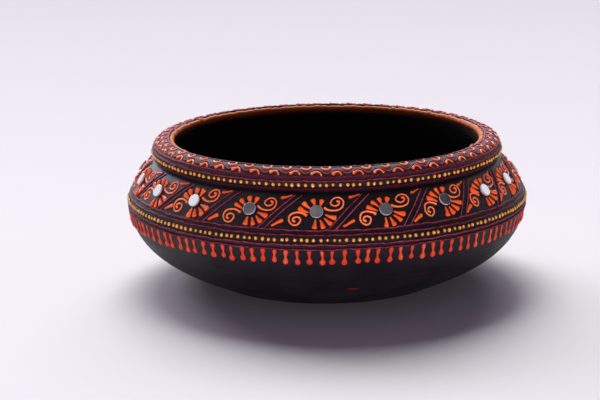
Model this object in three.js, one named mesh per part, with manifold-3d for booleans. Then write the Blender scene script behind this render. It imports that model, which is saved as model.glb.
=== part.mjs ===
// Round terracotta bowl: a thrown clay body with a rolled rim, lines of piped paste, and small round mirrors
// set in paste flowers round the shoulder. Millimetres, +Z up, the foot on z = 0, the axis on Z.

import * as THREE from 'three';
import { mergeVertices } from 'three/addons/utils/BufferGeometryUtils.js';
import Module from 'manifold-3d';

const wasm = await Module();
wasm.setup();

// Clay body: heights add up from the foot, radii step in from the belly
const FOOT_RADIUS = 74;
const BELLY_RADIUS = 124.8;
const BELLY_HEIGHT = 51.6;
const SHOULDER_RISE = 24.3;
const SHOULDER_INSET = 15.8;
const NECK_RISE = 1.7;
const NECK_DEPTH = 3.2;
const RIM_RISE = 4;
const RIM_OVERHANG = 3.2;
const CREST_RISE = 8.2;
const CREST_INSET = 8.4;
const LIP_DROP = 4;
const LIP_INSET = 4.2;
const WALL = 7;
const FLOOR = 8;
const FLOOR_RADIUS = 66;

// How far each curve of the outline keeps its first or last direction
const FOOT_FLARE = 11;
const FOOT_LIFT = 6.9;
const BELLY_FALL = 35.2;
const BELLY_CLIMB = 3.8;
const SHOULDER_RUN = 5;
const SHOULDER_PITCH = 3.3;
const NECK_EASE = 0.9;
const RIM_EASE = 3.3;

// Piped lines: distances along the clay from the mirror circle, the widest of the rim or its crest
const LINE_WIDTH = 1.3;
const LINE_HEIGHT = 0.8;
const MIRROR_DROP = 11.4;
const BELT_1_DROP = 11.2;
const BELT_2_DROP = 14.1;
const BELT_3_DROP = 19.7;
const FRINGE_DROP = 22.3;
const RIM_LOWER_DROP = 3.2;
const RIM_LOWER_WIDTH = 2.2;
const RIM_LOWER_HEIGHT = 1.1;
const RIM_2_CLIMB = 1.9;
const RIM_1_CLIMB = 4.3;
const WAVE_DROP = 5;
const WAVE_SWING = 1.5;
const WAVE_COUNT = 55;
const WAVE_STEPS = 2;
const WAVE_TURN = -3.2;
const RIM_INNER_CLIMB = 1.3;
const LIP_LINE_DROP = 4;

// Mirrors and the paste flowers that hold them
const MIRROR_COUNT = 19;
const MIRROR_RADIUS = 3.85;
const MIRROR_THICKNESS = 1;
const MIRROR_BEVEL = 0.25;
const BED_MARGIN = 0.45;
const BED_THICKNESS = 0.5;
const PETAL_HEADINGS = [163, 139, 110, 77];
const PETAL_REACHES = [11.2, 10.2, 9.6, 9.5];
const PETAL_WIDTH = 3.1;
const PETAL_HEIGHT = 1.1;
const PETAL_CHEEK = 0.85;
const PETAL_CROWN = 0.65;
const SCROLL_HEADING = 30;
const SCROLL_START_OUT = 2;
const SCROLL_START_UP = 1.2;
const SCROLL_OUT = 11.1;
const SCROLL_UP = 4.9;
const SCROLL_RADIUS = 4.1;
const SCROLL_EYE = 1;
const SCROLL_TURNS = 1.4;
const SCROLL_STEPS = 8;
const SCROLL_WIDTH = 1.2;

// Pairs of diagonals between the flowers, measured from the flower on their left
const DIAGONAL_FOOT = 6.6;
const DIAGONAL_LEAN = 17.4;
const DIAGONAL_APART = 4.1;
const DIAGONAL_CLIMB = 21.6;
const DIAGONAL_STEPS = 3;
const DIAGONAL_WIDTH = 1.1;

// The flowers at the front, from left to right, were set by eye: degrees from the front, millimetres above
// the mirror circle, and where the diagonals on their right start and how far those lean. The others fill
// the rest of the circle evenly.
const SET_FLOWERS = [
  { turn: -76.2, rise: -0.4, foot: 6.6, lean: 15.4 },
  { turn: -59.5, rise: -0.5, foot: 6.6, lean: 17.4 },
  { turn: -41.5, rise: 0.1, foot: 6.6, lean: 17.4 },
  { turn: -22.3, rise: -0.2, foot: 6.6, lean: 18 },
  { turn: -2.9, rise: -0.3, foot: 6.7, lean: 19 },
  { turn: 16.7, rise: -0.4, foot: 9.4, lean: 16 },
  { turn: 36, rise: 1.1, foot: 7.8, lean: 14.2 },
  { turn: 53.3, rise: 0.5, foot: 7, lean: 12.5 },
  { turn: 69.6, rise: 0.7, foot: 6.6, lean: 16 },
];

// Tassels under the lowest line
const TASSEL_COUNT = 116;
const TASSEL_LENGTH = 9;
const TASSEL_TOP_WIDTH = 2.9;
const TASSEL_WAIST_WIDTH = 1.5;
const TASSEL_BALL_WIDTH = 3.7;
const TASSEL_HEIGHT = 1.1;
const TASSEL_WAIST = 0.5;

// Where a stroke grows out of a line, it starts inside that line: lower, and its feet lifted a little
const ROOT_HEIGHT = 0.4;
const ROOT_LIFT = 0.1;
const DIAGONAL_ROOT_WIDTH = 0.45;

// Paste and glass sit this far off the clay and off each other
const CLEARANCE = 0.3;

// Facets
const RING_SEGMENTS = 54;
const DISC_SEGMENTS = 12;
const OUTLINE_STEPS = [6, 4, 2, 2, 4, 2];
const INNER_WALL_STEPS = 7;

const clayPaint = new THREE.MeshStandardMaterial({ color: 0x1c1b20, roughness: 0.5, metalness: 0 });
const silveredGlass = new THREE.MeshStandardMaterial({ color: 0xd5dade, roughness: 0.08, metalness: 1 });
const orangePaste = new THREE.MeshStandardMaterial({ color: 0xf06e2d, roughness: 0.4, metalness: 0 });
const redPaste = new THREE.MeshStandardMaterial({ color: 0xdc452b, roughness: 0.4, metalness: 0 });
const maroonPaste = new THREE.MeshStandardMaterial({ color: 0x6e2840, roughness: 0.35, metalness: 0 });
const yellowPaste = new THREE.MeshStandardMaterial({ color: 0xdca63c, roughness: 0.4, metalness: 0 });

// Outline of the clay, from the edge of the foot up and over the rim to the inner lip
function clayOutline() {
  const shoulderRadius = BELLY_RADIUS - SHOULDER_INSET;
  const shoulderHeight = BELLY_HEIGHT + SHOULDER_RISE;
  const neckRadius = shoulderRadius - NECK_DEPTH;
  const neckHeight = shoulderHeight + NECK_RISE;
  const rimRadius = neckRadius + RIM_OVERHANG;
  const rimHeight = neckHeight + RIM_RISE;
  const crestRadius = rimRadius - CREST_INSET;
  const lipHeight = rimHeight + CREST_RISE - LIP_DROP;
  const path = new THREE.Path();
  path.moveTo(FOOT_RADIUS, 0);
  path.bezierCurveTo(
    FOOT_RADIUS + FOOT_FLARE, FOOT_LIFT,
    BELLY_RADIUS, BELLY_HEIGHT - BELLY_FALL,
    BELLY_RADIUS, BELLY_HEIGHT,
  );
  path.bezierCurveTo(
    BELLY_RADIUS, BELLY_HEIGHT + BELLY_CLIMB,
    shoulderRadius + SHOULDER_RUN, shoulderHeight - SHOULDER_PITCH,
    shoulderRadius, shoulderHeight,
  );
  path.quadraticCurveTo(neckRadius, neckHeight - NECK_EASE, neckRadius, neckHeight);
  path.bezierCurveTo(
    neckRadius, neckHeight + NECK_EASE,
    rimRadius, rimHeight - RIM_EASE,
    rimRadius, rimHeight,
  );
  path.absellipse(crestRadius, rimHeight, CREST_INSET, CREST_RISE, 0, Math.PI / 2, false);
  path.absellipse(crestRadius, lipHeight, LIP_INSET, LIP_DROP, Math.PI / 2, Math.PI, false);
  return path;
}

const outline = clayOutline();
const [, shoulderEnd, , rimEnd, crestEnd, outlineEnd] = outline.getCurveLengths();
const mirrorCircle = shoulderEnd - MIRROR_DROP;

// Point of the outline at a distance along it from the foot, lifted off the clay
function profilePoint(distance, lift) {
  const part = distance / outlineEnd;
  const along = outline.getTangent(part);
  return outline.getPoint(part).addScaledVector(new THREE.Vector2(along.y, -along.x), lift);
}

// Place on the clay: an angle from the front, a distance along the outline and a lift off the clay
function onClay(angle, distance, lift) {
  const point = profilePoint(distance, lift);
  return new THREE.Vector3(point.x * Math.sin(angle), -point.x * Math.cos(angle), point.y);
}

// The same for a place given in millimetres to the right of and above a start, along the skin
function beside(start, right, up) {
  const distance = start.distance + up;
  return { angle: start.angle + right / profilePoint(distance, 0).x, distance };
}

function turned(profile, segments) {
  return new THREE.LatheGeometry(profile, segments).rotateX(Math.PI / 2);
}

function fromFaces(points, faces) {
  const geometry = new THREE.BufferGeometry().setFromPoints(points);
  geometry.setIndex(faces);
  return geometry;
}

function asSolid(geometry) {
  geometry.deleteAttribute('normal');
  geometry.deleteAttribute('uv');
  const merged = mergeVertices(geometry);
  const vertProperties = new Float32Array(merged.attributes.position.array);
  const triVerts = new Uint32Array(merged.index.array);
  return new wasm.Manifold(new wasm.Mesh({ numProp: 3, vertProperties, triVerts }));
}

function fused(geometries) {
  const solid = wasm.Manifold.union(geometries.map(asSolid));
  const mesh = solid.getMesh();
  const geometry = new THREE.BufferGeometry();
  geometry.setAttribute('position', new THREE.BufferAttribute(mesh.vertProperties, 3));
  geometry.setIndex(new THREE.BufferAttribute(mesh.triVerts, 1));
  return geometry;
}

// Clay body: the outline, then an inner wall that follows it at the wall's thickness, down to the floor
function bowlGeometry() {
  const outer = outline.curves.flatMap((curve, i) => (
    curve.getPoints(OUTLINE_STEPS[i]).slice(i === 0 ? 0 : 1)
  ));
  const inner = [];
  for (let step = INNER_WALL_STEPS; step > 0; step -= 1) {
    inner.push(profilePoint((shoulderEnd * step) / INNER_WALL_STEPS, -WALL));
  }
  const profile = [
    new THREE.Vector2(0, 0),
    ...outer,
    ...inner.filter((point) => point.y > FLOOR + WALL / 4),
    new THREE.Vector2(FLOOR_RADIUS, FLOOR),
    new THREE.Vector2(0, FLOOR),
  ];
  return turned(profile, RING_SEGMENTS);
}

// Ring of paste: two feet on the clay with a ridge between them, turned on the axis
function ringGeometry(distance, width = LINE_WIDTH, height = LINE_HEIGHT) {
  const lower = profilePoint(distance - width / 2, CLEARANCE);
  const ridge = profilePoint(distance, CLEARANCE + height);
  const upper = profilePoint(distance + width / 2, CLEARANCE);
  return turned([lower, ridge, upper, lower.clone()], RING_SEGMENTS);
}

// Rows of three points along a stroke of paste: left foot, right foot and ridge at each of its stations
function strokeRows(stations, closed = false) {
  const count = stations.length;
  return stations.map((station, i) => {
    const before = closed ? stations[(i + count - 1) % count] : stations[Math.max(i - 1, 0)];
    const after = closed ? stations[(i + 1) % count] : stations[Math.min(i + 1, count - 1)];
    const turn = Math.sin(after.angle - before.angle) * profilePoint(station.distance, 0).x;
    const along = new THREE.Vector2(turn, after.distance - before.distance).normalize();
    const half = station.width / 2;
    const left = beside(station, -along.y * half, along.x * half);
    const right = beside(station, along.y * half, -along.x * half);
    const base = CLEARANCE + (station.sunk ?? 0);
    return [
      onClay(left.angle, left.distance, base),
      onClay(right.angle, right.distance, base),
      onClay(station.angle, station.distance, CLEARANCE + station.height),
    ];
  });
}

// Faces of a stroke between the row that starts at one point and the row that starts at another
function rowFaces(a, b) {
  return [0, 1, 2].flatMap((p) => {
    const q = (p + 1) % 3;
    return [a + p, b + p, b + q, a + p, b + q, a + q];
  });
}

// Stroke of paste, closed at both ends
function strokeGeometry(stations) {
  const points = strokeRows(stations).flat();
  const last = points.length - 3;
  const faces = [0, 1, 2, last, last + 2, last + 1];
  for (let a = 0; a < last; a += 3) {
    faces.push(...rowFaces(a, a + 3));
  }
  return fromFaces(points, faces);
}

// Maroon wave round the crest of the rim
function waveGeometry() {
  const count = WAVE_COUNT * WAVE_STEPS;
  const stations = Array.from({ length: count }, (_, i) => {
    const angle = (2 * Math.PI * i) / count;
    const phase = WAVE_COUNT * (angle - THREE.MathUtils.degToRad(WAVE_TURN));
    const distance = crestEnd - WAVE_DROP + WAVE_SWING * Math.cos(phase);
    return { angle, distance, width: LINE_WIDTH, height: LINE_HEIGHT };
  });
  const faces = stations.flatMap((_, i) => rowFaces(3 * i, 3 * ((i + 1) % count)));
  return fromFaces(strokeRows(stations, true).flat(), faces);
}

// Scroll stations: a run out from the bed, then a spiral that curls in. Half a turn about the mirror, a flip
// of both directions, gives the twin on the other side.
function scrollStations(start, flip) {
  const stations = [{ right: MIRROR_RADIUS + SCROLL_START_OUT, up: SCROLL_START_UP }];
  for (let i = 0; i <= SCROLL_STEPS; i += 1) {
    const part = i / SCROLL_STEPS;
    const turn = 2 * Math.PI * (SCROLL_TURNS * part - 0.25);
    const radius = THREE.MathUtils.lerp(SCROLL_RADIUS, SCROLL_EYE, part) - SCROLL_WIDTH / 2;
    stations.push({
      right: SCROLL_OUT + radius * Math.cos(turn),
      up: SCROLL_UP + radius * Math.sin(turn),
    });
  }
  return stations.map(({ right, up }) => ({
    ...beside(start, flip * right, flip * up),
    width: SCROLL_WIDTH,
    height: LINE_HEIGHT,
  }));
}

// What grows from the bed, anticlockwise by heading: a scroll and four petals on each half
function flowerLimbs() {
  const limbs = [0, 180].flatMap((half) => [
    { heading: SCROLL_HEADING + half, flip: half === 0 ? 1 : -1 },
    ...PETAL_HEADINGS.map((heading, i) => ({ heading: heading + half, reach: PETAL_REACHES[i] })),
  ]);
  return limbs.sort((a, b) => a.heading - b.heading);
}

// Flower of paste: a low bed under the mirror with a petal or a scroll growing from each of its sides
function flowerGeometry(start) {
  const points = [];
  const faces = [];
  const limbs = flowerLimbs();
  const bedRadius = MIRROR_RADIUS - BED_MARGIN;
  const add = (heading, out, side, lift) => {
    const turn = THREE.MathUtils.degToRad(heading);
    const right = out * Math.cos(turn) - side * Math.sin(turn);
    const up = out * Math.sin(turn) + side * Math.cos(turn);
    const place = beside(start, right, up);
    return points.push(onClay(place.angle, place.distance, lift)) - 1;
  };

  const corners = limbs.map(({ heading }, i) => {
    const before = i > 0 ? limbs[i - 1].heading : limbs.at(-1).heading - 360;
    const between = (before + heading) / 2;
    return {
      low: add(between, bedRadius, 0, CLEARANCE),
      high: add(between, bedRadius, 0, CLEARANCE + BED_THICKNESS),
    };
  });
  for (let i = 1; i < corners.length - 1; i += 1) {
    faces.push(corners[0].high, corners[i].high, corners[i + 1].high);
    faces.push(corners[0].low, corners[i + 1].low, corners[i].low);
  }

  const growPetal = ({ heading, reach }, right, left) => {
    const cheek = THREE.MathUtils.lerp(bedRadius, reach, PETAL_CHEEK);
    const crown = THREE.MathUtils.lerp(bedRadius, reach, PETAL_CROWN);
    const rightCheek = add(heading, cheek, -PETAL_WIDTH / 2, CLEARANCE);
    const end = add(heading, reach, 0, CLEARANCE);
    const leftCheek = add(heading, cheek, PETAL_WIDTH / 2, CLEARANCE);
    const peak = add(heading, crown, 0, CLEARANCE + PETAL_HEIGHT);
    const edge = [right.high, rightCheek, end, leftCheek, left.high];
    edge.forEach((corner, i) => faces.push(corner, edge[(i + 1) % edge.length], peak));
    faces.push(right.low, rightCheek, right.high, left.low, left.high, leftCheek);
    faces.push(right.low, end, rightCheek, right.low, leftCheek, end, right.low, left.low, leftCheek);
  };

  const growScroll = ({ flip }, right, left) => {
    const rows = strokeRows(scrollStations(start, flip));
    const first = points.length;
    points.push(...rows.flat());
    const [footLeft, footRight, ridge] = [first, first + 1, first + 2];
    faces.push(right.low, footRight, right.high, right.high, footRight, ridge);
    faces.push(left.low, left.high, footLeft, left.high, ridge, footLeft);
    faces.push(right.high, ridge, left.high);
    faces.push(right.low, footLeft, footRight, right.low, left.low, footLeft);
    const last = points.length - 3;
    for (let a = first; a < last; a += 3) {
      faces.push(...rowFaces(a, a + 3));
    }
    faces.push(last, last + 2, last + 1);
  };

  limbs.forEach((limb, i) => {
    const grow = limb.reach ? growPetal : growScroll;
    grow(limb, corners[i], corners[(i + 1) % corners.length]);
  });
  return fromFaces(points, faces);
}

// Round bevelled mirror, lying flat on its bed
function mirrorGeometry() {
  const profile = [
    new THREE.Vector2(0, 0),
    new THREE.Vector2(MIRROR_RADIUS, 0),
    new THREE.Vector2(MIRROR_RADIUS, MIRROR_THICKNESS - MIRROR_BEVEL),
    new THREE.Vector2(MIRROR_RADIUS - MIRROR_BEVEL, MIRROR_THICKNESS),
    new THREE.Vector2(0, MIRROR_THICKNESS),
  ];
  return turned(profile, DISC_SEGMENTS);
}

// First belt line with the pairs of diagonals that rise from it between the flowers
function beltGeometry(flowers) {
  const parts = [ringGeometry(mirrorCircle - BELT_1_DROP)];
  for (const { angle, foot, lean } of flowers) {
    for (const apart of [0, DIAGONAL_APART]) {
      const start = { angle, distance: mirrorCircle };
      const station = (part, width, height, sunk = 0) => ({
        ...beside(start, foot + apart + lean * part, DIAGONAL_CLIMB * part - BELT_1_DROP),
        width,
        height,
        sunk,
      });
      const stations = [station(0, DIAGONAL_ROOT_WIDTH, ROOT_HEIGHT, ROOT_LIFT)];
      for (let i = 1; i <= DIAGONAL_STEPS; i += 1) {
        stations.push(station(i / DIAGONAL_STEPS, DIAGONAL_WIDTH, LINE_HEIGHT));
      }
      parts.push(strokeGeometry(stations));
    }
  }
  return fused(parts);
}

// Lowest line with its tassels: a thick top, a thin waist and a ball at the end
function fringeGeometry() {
  const line = mirrorCircle - FRINGE_DROP;
  const parts = [ringGeometry(line)];
  for (let i = 0; i < TASSEL_COUNT; i += 1) {
    const angle = (2 * Math.PI * (i + 0.5)) / TASSEL_COUNT;
    const station = (part, width, height, sunk = 0) => (
      { angle, distance: line - TASSEL_LENGTH * part, width, height, sunk }
    );
    const stations = [
      station(0, TASSEL_TOP_WIDTH, ROOT_HEIGHT, ROOT_LIFT),
      station(TASSEL_WAIST, TASSEL_WAIST_WIDTH, LINE_HEIGHT),
      station(1, TASSEL_BALL_WIDTH, TASSEL_HEIGHT),
    ];
    parts.push(strokeGeometry(stations));
  }
  return fused(parts);
}

const bowl = new THREE.Group();

function addPiece(name, geometry, material) {
  const mesh = new THREE.Mesh(geometry, material);
  mesh.name = name;
  bowl.add(mesh);
  return mesh;
}

function addMirror(name, start) {
  const mirror = addPiece(name, mirrorGeometry(), silveredGlass);
  const seat = CLEARANCE + BED_THICKNESS + CLEARANCE;
  const centre = onClay(start.angle, start.distance, seat);
  const out = onClay(start.angle, start.distance, seat + 1).sub(centre);
  mirror.position.copy(centre);
  mirror.quaternion.setFromUnitVectors(new THREE.Vector3(0, 0, 1), out);
}

addPiece('clay_bowl', bowlGeometry(), clayPaint);
const rimLower = ringGeometry(rimEnd - RIM_LOWER_DROP, RIM_LOWER_WIDTH, RIM_LOWER_HEIGHT);
addPiece('rim_lower_line', rimLower, maroonPaste);
addPiece('rim_line_2', ringGeometry(rimEnd + RIM_2_CLIMB), maroonPaste);
addPiece('rim_line_1', ringGeometry(rimEnd + RIM_1_CLIMB), maroonPaste);
addPiece('rim_wave_line', waveGeometry(), maroonPaste);
addPiece('rim_inner_line', ringGeometry(crestEnd + RIM_INNER_CLIMB), maroonPaste);
addPiece('lip_line', ringGeometry(crestEnd + LIP_LINE_DROP), yellowPaste);

const lastSet = SET_FLOWERS.at(-1).turn;
const spareCount = MIRROR_COUNT - SET_FLOWERS.length;
const spareStep = (360 + SET_FLOWERS[0].turn - lastSet) / (spareCount + 1);
const spareFlowers = Array.from({ length: spareCount }, (_, i) => ({
  turn: lastSet + spareStep * (i + 1), rise: 0, foot: DIAGONAL_FOOT, lean: DIAGONAL_LEAN,
}));
const flowers = [...SET_FLOWERS, ...spareFlowers].map(({ turn, rise, foot, lean }) => ({
  angle: THREE.MathUtils.degToRad(turn), distance: mirrorCircle + rise, foot, lean,
}));

flowers.forEach((start, i) => {
  const number = String(i + 1).padStart(2, '0');
  addPiece(`mirror_flower_${number}`, flowerGeometry(start), orangePaste);
  addMirror(`mirror_${number}`, start);
});

addPiece('belt_line_1', beltGeometry(flowers), maroonPaste);
addPiece('belt_line_2', ringGeometry(mirrorCircle - BELT_2_DROP), maroonPaste);
addPiece('belt_line_3', ringGeometry(mirrorCircle - BELT_3_DROP), maroonPaste);
addPiece('fringe_line', fringeGeometry(), redPaste);

export default bowl;
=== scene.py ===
# %% [markdown]
# A painted terracotta bowl with mirror work.
# The real bowl is thrown on a wheel, fired, painted black, and then decorated by hand: paste is squeezed
# from a cone in lines, dots, petals and scrolls, and small round mirrors are glued between them.
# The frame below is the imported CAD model. Every piece made here stands for one of its nodes, or adds
# paste that is too small for it, so the frame gives the places and this script gives the looks.

# %% Load the frame
import bisect
import math
import random

import bmesh
import bpy
from mathutils import Matrix, Vector, noise
from mathutils.geometry import interpolate_bezier


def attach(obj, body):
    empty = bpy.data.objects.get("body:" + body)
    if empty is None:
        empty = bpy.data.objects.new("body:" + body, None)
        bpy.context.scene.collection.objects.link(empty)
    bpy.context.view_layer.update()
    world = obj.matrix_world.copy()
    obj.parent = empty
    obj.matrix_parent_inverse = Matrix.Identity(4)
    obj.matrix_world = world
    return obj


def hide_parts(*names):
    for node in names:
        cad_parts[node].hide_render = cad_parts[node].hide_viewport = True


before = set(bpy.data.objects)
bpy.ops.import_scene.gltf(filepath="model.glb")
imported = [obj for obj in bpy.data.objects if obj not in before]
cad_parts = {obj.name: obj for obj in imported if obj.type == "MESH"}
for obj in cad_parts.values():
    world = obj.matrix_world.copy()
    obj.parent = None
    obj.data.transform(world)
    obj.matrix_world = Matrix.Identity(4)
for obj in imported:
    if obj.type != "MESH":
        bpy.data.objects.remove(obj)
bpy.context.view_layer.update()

# %% [markdown]
# The clay is a surface of revolution, so one outline describes it: foot, belly, shoulder, neck groove,
# rolled rim and inner lip. Paste lies on that surface, and a place on it is easiest to give the way a
# painter would, by the angle round the bowl and the distance up along the skin. The sizes are those of
# the CAD source, in metres.

# %% Sizes of the clay
MM = 0.001
FOOT_RADIUS = 74 * MM
BELLY_RADIUS = 124.8 * MM
BELLY_HEIGHT = 51.6 * MM
SHOULDER_RISE = 24.3 * MM
SHOULDER_INSET = 15.8 * MM
NECK_RISE = 1.7 * MM
NECK_DEPTH = 3.2 * MM
RIM_RISE = 4 * MM
RIM_OVERHANG = 3.2 * MM
CREST_RISE = 8.2 * MM
CREST_INSET = 8.4 * MM
LIP_DROP = 4 * MM
LIP_INSET = 4.2 * MM
WALL = 7 * MM
FLOOR = 8 * MM
FLOOR_RADIUS = 66 * MM
FOOT_FLARE = 11 * MM
FOOT_LIFT = 6.9 * MM
BELLY_FALL = 35.2 * MM
BELLY_CLIMB = 3.8 * MM
SHOULDER_RUN = 5 * MM
SHOULDER_PITCH = 3.3 * MM
NECK_EASE = 0.9 * MM
RIM_EASE = 3.3 * MM
print("belly", round(2 * BELLY_RADIUS / MM, 1), "mm across")

# %% [markdown]
# Each part of the outline is one Bezier curve. A quarter of an ellipse is drawn by handles 0.5523 of its
# radii long, and the quadratic curve into the neck becomes a cubic by taking its handles two thirds of
# the way to its own.

# %% Outline of the clay
QUARTER_ARC = 0.5523
CURVE_POINTS = 48


def flat(radius, height):
    return Vector((radius, 0, height))


def clay_curves():
    """The six curves of the outline from the foot's edge to the inner lip: knot, two handles, knot."""
    foot = flat(FOOT_RADIUS, 0)
    belly = flat(BELLY_RADIUS, BELLY_HEIGHT)
    shoulder = belly + flat(-SHOULDER_INSET, SHOULDER_RISE)
    neck = shoulder + flat(-NECK_DEPTH, NECK_RISE)
    rim = neck + flat(RIM_OVERHANG, RIM_RISE)
    crest = rim + flat(-CREST_INSET, CREST_RISE)
    lip = crest + flat(-LIP_INSET, -LIP_DROP)
    groove = neck - flat(0, NECK_EASE)
    return [
        (foot, foot + flat(FOOT_FLARE, FOOT_LIFT), belly - flat(0, BELLY_FALL), belly),
        (belly, belly + flat(0, BELLY_CLIMB), shoulder + flat(SHOULDER_RUN, -SHOULDER_PITCH), shoulder),
        (shoulder, shoulder.lerp(groove, 2 / 3), neck.lerp(groove, 2 / 3), neck),
        (neck, neck + flat(0, NECK_EASE), rim - flat(0, RIM_EASE), rim),
        (rim, rim + flat(0, CREST_RISE * QUARTER_ARC),
         crest + flat(CREST_INSET * QUARTER_ARC, 0), crest),
        (crest, crest - flat(LIP_INSET * QUARTER_ARC, 0),
         lip + flat(0, LIP_DROP * QUARTER_ARC), lip),
    ]


outline = [flat(FOOT_RADIUS, 0)]
marks = []
for curve in clay_curves():
    outline += interpolate_bezier(*curve, CURVE_POINTS)[1:]
    marks.append(len(outline) - 1)
along = [0.0]
for before, after in zip(outline, outline[1:]):
    along.append(along[-1] + (after - before).length)
SHOULDER_END, RIM_END, CREST_END, OUTLINE_END = (along[marks[i]] for i in (1, 3, 4, 5))
print("outline", len(outline), "points,", round(OUTLINE_END / MM, 1), "mm long")

# %% [markdown]
# A place on the bowl is found in two steps. The outline gives the point at a distance along the skin, and
# the way out of the clay there. Then the flat drawing of a stroke is wrapped round the axis, which is how
# a flat stencil would lie on the real bowl.

# %% Places on the outline
def on_outline(distance):
    """Point of the outline at a distance from the foot, and the direction out of the clay there."""
    distance = min(max(distance, 0.0), OUTLINE_END - 1e-9)
    i = min(bisect.bisect_right(along, distance) - 1, len(along) - 2)
    part = (distance - along[i]) / (along[i + 1] - along[i])
    ahead = outline[min(i + 2, len(outline) - 1)] - outline[i]
    here = outline[i + 1] - outline[max(i - 1, 0)]
    run = here.normalized().lerp(ahead.normalized(), part).normalized()
    return outline[i].lerp(outline[i + 1], part), Vector((run.z, 0, -run.x))


def turned(radius, turn, height):
    """The place at a radius and a height, turned so far round the bowl from the front."""
    return Vector((radius * math.sin(turn), -radius * math.cos(turn), height))


MIRROR_DROP = 11.4 * MM
mirror_distance = SHOULDER_END - MIRROR_DROP
mirror_place = on_outline(mirror_distance)[0]
print("mirrors sit", [round(value / MM, 1) for value in mirror_place.xz], "mm out and up")

# %% [markdown]
# A bowl thrown by hand is never quite round: the wheel leaves a slow wander in its radius and height.
# It could be sculpted, but two sines give it too, and the same wander can then be added to the clay and
# to all that lies on it, so the paste keeps touching the clay.

# %% Places on the clay
OUT_OF_ROUND = 0.3 * MM


def hand_thrown(point):
    """The point, moved as the potter's hand moved the clay."""
    turn = math.atan2(point.x, -point.y)
    high = point.z / (BELLY_HEIGHT + SHOULDER_RISE)
    swell = OUT_OF_ROUND * (0.4 * math.sin(3 * turn + 2 * high) - 0.7 * math.cos(2 * turn))
    scale = 1 + swell * min(high * 3, 1) / BELLY_RADIUS
    lift = OUT_OF_ROUND * 0.7 * high * math.sin(turn - 0.6)
    return Vector((point.x * scale, point.y * scale, point.z + lift))


def lay_on_clay(verts, angle, distance, row_radius=None):
    """Wraps flat vertices on to the clay: x runs right, y up along the skin and z off it.

    The start is an angle from the front and a distance along the outline. A row that goes a long way
    round is measured at one radius, row_radius, so that its strokes stay upright."""
    for vert in verts:
        right, up, lift = vert.co
        point, out = on_outline(distance + up)
        turn = angle + right / (row_radius or point.x)
        vert.co = hand_thrown(turned(point.x + out.x * lift, turn, point.z + out.z * lift))


crest_point = on_outline(CREST_END)[0]
print("crest moved by", round((hand_thrown(crest_point) - crest_point).length / MM, 2), "mm")

# %% [markdown]
# Each piece ends the same way: its faces are turned outwards and shaded smooth, it rides on the bowl's
# one body, it takes the material it is given, and it hides the CAD nodes that it stands for.

# %% Finish a piece
def put_in_scene(name, data):
    made = bpy.data.objects.new(name, data)
    bpy.context.scene.collection.objects.link(made)
    return made


def finish_piece(shape, name, material, slot, *nodes):
    bmesh.ops.recalc_face_normals(shape, faces=shape.faces)
    for face in shape.faces:
        face.smooth = True
    mesh = bpy.data.meshes.new(name)
    shape.to_mesh(mesh)
    shape.free()
    mesh.materials.append(material)
    piece = put_in_scene(name, mesh)
    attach(piece, "root")
    if nodes:
        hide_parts(*nodes)
    print(name, len(mesh.polygons), "faces")


# %% [markdown]
# Materials are node trees. They could be built by hand in the shader editor, but a script repeats
# itself less with small helpers: one adds any node and sets or links its inputs, and the others add the
# kinds used most. Plain numbers go straight on the shader's own sockets.

# %% Helpers for materials
def new_material(name):
    material = bpy.data.materials.new(name)
    material.use_nodes = True
    return material.node_tree, material.node_tree.nodes["Principled BSDF"], material


def add_node(tree, kind, inputs, **settings):
    node = tree.nodes.new("ShaderNode" + kind)
    for setting, value in settings.items():
        setattr(node, setting, value)
    for socket, value in inputs.items():
        if isinstance(value, bpy.types.NodeSocket):
            tree.links.new(value, node.inputs[socket])
        else:
            node.inputs[socket].default_value = value
    return node


def add_ramp(tree, source, *stops):
    """A colour ramp through (position, colour) stops."""
    node = add_node(tree, "ValToRGB", {"Fac": source})
    elements = node.color_ramp.elements
    while len(elements) < len(stops):
        elements.new(1.0)
    for element, (position, colour) in zip(elements, stops):
        element.position = position
        element.color = (*colour, 1)
    return node.outputs["Color"]


def add_range(tree, source, low=0.0, high=1.0, start=0.0, end=1.0, **settings):
    """A value between start and end, spread over low to high."""
    return add_node(
        tree, "MapRange",
        {"Value": source, "From Min": start, "From Max": end, "To Min": low, "To Max": high}, **settings,
    ).outputs["Result"]


def add_math(tree, operation, *values):
    return add_node(tree, "Math", dict(enumerate(values)), operation=operation).outputs["Value"]


def add_noise(tree, place, scale, detail):
    return add_node(tree, "TexNoise", {"Vector": place, "Scale": scale, "Detail": detail}).outputs["Fac"]


def add_mix(tree, part, first, second):
    """The first colour where part is 0, the second where it is 1."""
    return add_node(tree, "Mix", {0: part, 6: first, 7: second}, data_type="RGBA").outputs[2]


def add_mixed_number(tree, part, first, second):
    return add_node(tree, "Mix", {0: part, 2: first, 3: second}).outputs[0]


def add_bump(tree, shader, height, strength, distance):
    bump = add_node(tree, "Bump", {"Height": height, "Strength": strength, "Distance": distance * MM})
    tree.links.new(bump.outputs["Normal"], shader.inputs["Normal"])


def add_attribute(tree, name):
    return add_node(tree, "Attribute", {}, attribute_name=name).outputs["Fac"]


def add_place(tree):
    return add_node(tree, "TexCoord", {}).outputs["Object"]


def set_shader(shader, **values):
    for socket, value in values.items():
        shader.inputs[socket.replace("_", " ")].default_value = value


# %% [markdown]
# The paint is a black satin emulsion, brushed on while the bowl turned, so its streaks run round it. A
# noise that changes slowly along x and y but fast with height and radius gives such streaks on walls
# and on the rim alike. The paint also has three small pits, each of which is the space within a short
# distance of a point on the clay. Their floors are painted near black, as painted shade in the hollows.

# %% Streaks and pits in the paint
STREAK_ROUND = 16
STREAK_ACROSS = 620
PITS = [(-17.8, 63.6, 1.0), (-21.2, 50.5, 0.7), (37.5, 50.5, 0.8)]
PIT_FLOOR = 0.45


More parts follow.
